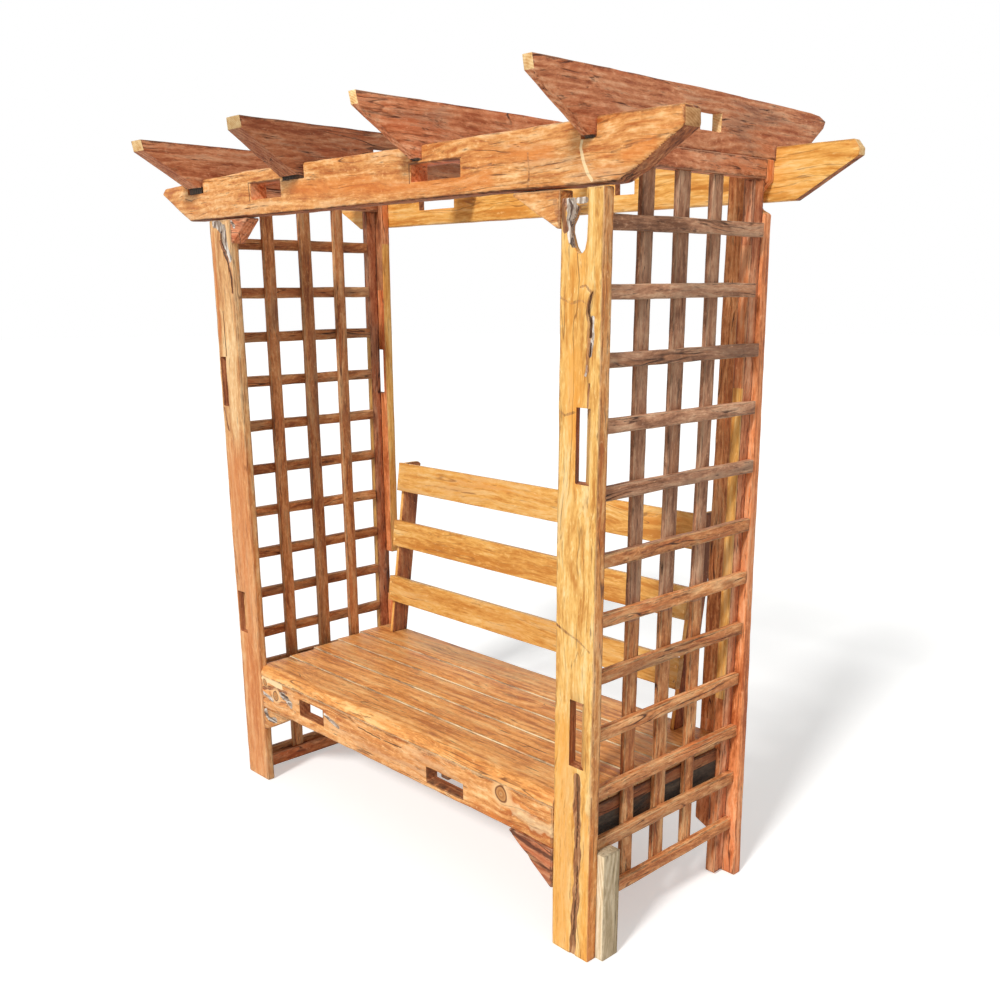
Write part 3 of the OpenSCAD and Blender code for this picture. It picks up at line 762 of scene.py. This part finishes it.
# braces in the corners
braces = {"axis": 0, "finish": "goldenTeak", "slot": "golden_teak", "arris": 3, "ripple": 1.0, "bow": 0,
          "step": 12, "stepWide": 12}
timber("brace_upper_left", {**braces, "seed": 13.1, "finish": "russetTeak", "tone": 1.05,
                            "marks": [mark("bark", 8, (-655, 1912), (-640, 1900))]})
timber("brace_upper_right", {**braces, "seed": 14.4,
                             "marks": [mark("rind", 14, (738, 1896), (756, 1850), share=0.44)]})
timber("brace_lower_left", {**braces, "seed": 15.8, "tone": 0.85,
                            "marks": [mark("bark", 14, (-650, 272), (-628, 250), (-590, 256), depth=3)]})
timber("brace_lower_right", {**braces, "seed": 16.5, "finish": "russetTeak", "tone": 0.90,
                             "marks": [mark("grime", 9, (600, 276), (680, 262), (756, 256), depth=1),
                                       mark("warm", 9, (640, 250), (756, 236)),
                                       mark("rind", 8, (650, 232), (700, 222), (756, 214), depth=2),
                                       mark("grime", 8, (690, 190), (756, 160))]})

# apron: waney, with a knot and bark at its left end
apron = {"axis": 0, "seed": 17.3, "finish": "goldenTeak", "slot": "golden_teak", "arris": 5, "segments": 3,
         "tone": 1.05, "ripple": 1.8, "bow": 0, "heart": (-60, -70),
         "waney": [{"axis": 2, "side": -1, "depth": -4, "length": 300, "start": 0.6}], "slack": 4,
         "mortises": [((-430, -370, 322), (-290, -315, 379)), ((235, -370, 306), (400, -315, 352))],
         "marks": [mark("knot", 21, (560, 378), depth=-3),
                   mark("knot", 11, (-640, 386), depth=-2),
                   mark("knot", 15, (-574, 352), depth=-3),
                   mark("sapwood", 16, (-660, 404), (-600, 400), (-540, 392), depth=-2),
                   mark("sapwood", 30, (600, 356), (680, 336), (770, 336), share=0.46),
                   mark("rind", 8, (-656, 360), (-612, 372), (-560, 380), (-510, 380), depth=5),
                   mark("bark", 15, (-548, 366), (-512, 358), (-488, 344), depth=5),
                   mark("bark", 9, (-660, 342), (-630, 336), (-600, 330), depth=3),
                   mark("bark", 8, (-280, 366), (-250, 356), (-205, 345), depth=3),
                   mark("crack", 1.8, (-100, 380), (20, 372), (120, 376), depth=1),
                   mark("rind", 5, (600, 330), (660, 322), (740, 326), depth=1, share=0.42),
                   mark("grime", 3, (240, 304), (400, 304))]}
timber("apron", apron)
print("rails, braces and apron are fitted")

# seat boards: each with its own stripes and a light arris, partly worn and partly a painted highlight
seatBoards = {"axis": 0, "finish": "seatTeak", "ends": "dullEnd", "slot": "seat_teak", "arris": 3,
              "ripple": 0.5, "bow": 0, "step": 60,
              "each": [{"seed": 18.2, "tone": 1.06, "heart": (20, -60)},
                       {"seed": 19.4, "tone": 1.08, "heart": (-30, -80)},
                       {"seed": 20.7, "tone": 1.02, "heart": (45, -70)},
                       {"seed": 21.1, "tone": 1.04, "heart": (-15, -95)},
                       {"seed": 22.9, "tone": 1.0, "heart": (35, -60)}]}
for i, own in enumerate(seatBoards["each"]):
    timber("seat_board_%d" % (i + 1), {**seatBoards, **own})

# timbers under the seat
# painted shade: the right seat rail is drawn in umber, and near black over the lower two thirds of its outer
# face, for the shade under the seat
railLow, railHigh = (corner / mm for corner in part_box("seat_rail_right"))
paintedShadeTop = railLow.z + 0.66 * (railHigh.z - railLow.z)
underSeat = {"axis": 1, "finish": "brownTeak", "slot": "brown_teak", "arris": 3, "ripple": 0.8, "bow": 0,
             "tone": 0.7, "stepWide": 12,
             "each": {"seat_rail_left": {"seed": 23.3},
                      "seat_rail_right": {"seed": 25.0, "finish": "umberShadeTeak",
                                          "regions": [("nearBlackTeak", (railLow.x + 20, -500, 0),
                                                       (railHigh.x + 5, 500, paintedShadeTop))]},
                      "seat_rail_rear": {"seed": 23.3 + 2 * 1.7, "axis": 0},
                      "bearer_left": {"seed": 23.3 + 3 * 1.7},
                      "bearer_right": {"seed": 23.3 + 4 * 1.7}}}
for node, own in underSeat["each"].items():
    timber(node, {**underSeat, **own})
print("seat is boarded")

# the leaning back
uprights = {"axis": 2, "finish": "honeyTeak", "ends": "paleEnd", "slot": "golden_teak", "arris": 2.5,
            "ripple": 0.5, "bow": 0}
# painted shade: each upright's outer side face is drawn in umber
for side, seed in (("left", 32.1), ("right", 33.6)):
    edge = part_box("back_upright_" + side)[1].x / mm
    timber("back_upright_" + side, {**uprights, "seed": seed,
                                    "regions": [("umberShadeTeak", (edge - 2, -400, 0), (edge + 2, 400, 1200))]})
backSlats = {"axis": 0, "finish": "honeyTeak", "ends": "paleEnd", "slot": "honey_teak", "arris": 2.5,
             "ripple": 0.6, "bow": 0, "step": 60}
for i, (place, tone) in enumerate((("top", 0.93), ("middle", 0.91), ("bottom", 0.87))):
    timber("back_slat_" + place,
           {**backSlats, "seed": 34.2 + 1.9 * i, "tone": tone, "heart": (30 * i - 30, -75)})

plugs = {"axis": 2, "finish": "yellowTeak", "slot": "plug_wood", "arris": 0.6, "segments": 1, "ripple": 0,
         "bow": 0, "seed": 41.0, "tone": 1.12}


def setPlugs(s):
    bm = copyOf("screw_plugs")
    low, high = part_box("screw_plugs")
    layGrain(bm, s, low, high)
    finishPiece(bm, "screw_plugs_turned", [s["finish"]], ["screw_plugs"])


setPlugs(plugs)
print("back is slatted")

# lattice
battens = {"axis": 2, "finish": "brownTeak", "ends": "dullEnd", "slot": "brown_teak", "arris": 2, "ripple": 0.8,
           "bow": 2.0}
for side, tones in (("left", (0.90, 0.70, 0.84)), ("right", (0.86, 0.86, 0.97))):
    for i in range(3):
        timber("batten_%s_%d" % (side, i + 1),
               {**battens, "seed": 43.1 + 1.3 * i + (9 if side == "left" else 0), "tone": tones[i],
                "regions": [("amberTeak", (-1200, -500, -5), (1200, 500, 900 if side == "right" else 2100))]})
cornerBattens = {**battens, "finish": "russetTeak", "slot": "russet_teak", "bow": 0}
# painted light: a sunlit band on batten_left_4's front face is drawn in honey teak
timber("batten_left_4", {**cornerBattens, "seed": 61.2, "tone": 0.77,
                         "regions": [("honeyTeak", (-795, 240, 400), (-765, 250, 1560))]})
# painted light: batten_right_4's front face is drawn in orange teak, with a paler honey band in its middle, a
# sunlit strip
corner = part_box("batten_right_4")[0] / mm
timber("batten_right_4", {**cornerBattens, "seed": 62.4, "tone": 0.95,
                          "regions": [("orangeTeak", (corner.x - 2, corner.y - 2, 0),
                                       (corner.x + 60, corner.y + 2, 1800)),
                                      ("honeyTeak", (corner.x - 2, corner.y - 2, 560),
                                       (corner.x + 60, corner.y + 2, 1450))]})


# the slats lie in one group, so each loose part gets its own grain and tone
def slatGroup(node, s):
    whole = copyOf(node)
    low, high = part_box(node)
    roundArrises(whole, s)
    sliceUp(whole, s["axis"], s["step"] * mm)
    skins = dress(whole, s)
    grain, place, half = (whole.verts.layers.float_vector.new(k) for k in ("grain", "place", "half"))
    tone = whole.verts.layers.float.new("tone")
    centre, size = (low + high) / 2, (high - low) / 2
    moves = {}
    whole.normal_update()
    for v in whole.verts:
        slat = min(range(len(s["bottoms"])), key=lambda i: abs(v.co.z / mm - s["bottoms"][i] - s["half"]))
        seed = s["seed"] + 2.3 * slat
        middle = (s["bottoms"][slat] + s["half"]) * mm
        rise = (v.co.z - middle) / (s["half"] * mm)
        # painted light: lighter towards the top edge, painted shade towards the bottom edge
        v[tone] = s["tone"] * (1 + 0.10 * math.sin(slat * 2.4)) * (1 + s["paintedLightSlope"] * rise)
        v[grain] = Vector((v.co.y + seed * 3.7, v.co.z - middle + 0.03 * math.sin(slat * 5.1),
                           v.co.x - centre.x + 0.09))
        v[place] = Vector((v.co.y - centre.y, v.co.z - middle, v.co.x - centre.x))
        v[half] = Vector((size.y, s["half"] * mm, size.x))
        u = v.co.y
        move = v.normal * (s["ripple"] * mm * noise.noise(v.co * 21 + Vector((seed, 0, 0))))
        move.z += s["bow"] * mm * slowNoise(u * 2.6, 3, seed)
        edge = smooth(abs(rise), 0.5, 1.0) * math.copysign(1, rise)
        move.z -= edge * s["waney"] * mm * (0.5 + 0.5 * slowNoise(u * 7, 2, seed + edge))
        moves[v] = move
    for v, move in moves.items():
        v.co += move
    finishPiece(whole, node + "_timber", skins, [node])


# half is half a slat's height, bow its sway, waney how far its edges wander, all in mm
slats = {"axis": 1, "finish": "brownTeak", "ends": "dullEnd", "slot": "brown_teak", "arris": 2.5, "step": 30,
         "half": 19, "paintedLightSlope": 0.13, "ripple": 0.9, "bow": 3.2, "waney": 3.6}
slatGroup("lattice_slats_left",
          {**slats, "seed": 71.5, "tone": 0.82, "regions": [("amberTeak", (-1200, -500, -5), (1200, 500, 2000))],
           "bottoms": [1833, 1680, 1536, 1389, 1240, 1089, 942, 795, 650, 500, 383, 38]})
slatGroup("lattice_slats_right",
          {**slats, "seed": 88.3, "tone": 1.04, "regions": [("amberTeak", (-1200, -500, -5), (1200, 500, 1100))],
           "bottoms": [1832, 1684, 1533, 1383, 1225, 1062, 912, 764, 611, 447, 301, 149]})
timber("bottom_rail_left", {"axis": 1, "finish": "orangeTeak", "slot": "russet_teak", "arris": 2, "ripple": 0.6,
                            "bow": 0, "seed": 97.1, "tone": 0.9})
timber("foot_block", {"axis": 2, "finish": "pine", "ends": "paleEnd", "slot": "pale_pine", "arris": 2.5,
                      "ripple": 0.4, "bow": 0, "seed": 99.3, "tone": 0.95, "step": 30, "stepWide": 20,
                      "regions": [("greyPine", (865, -340, 306), (915, -260, 315)),
                                  ("greyPine", (905, -340, -5), (915, -260, 315))]})
print("lattice is nailed")
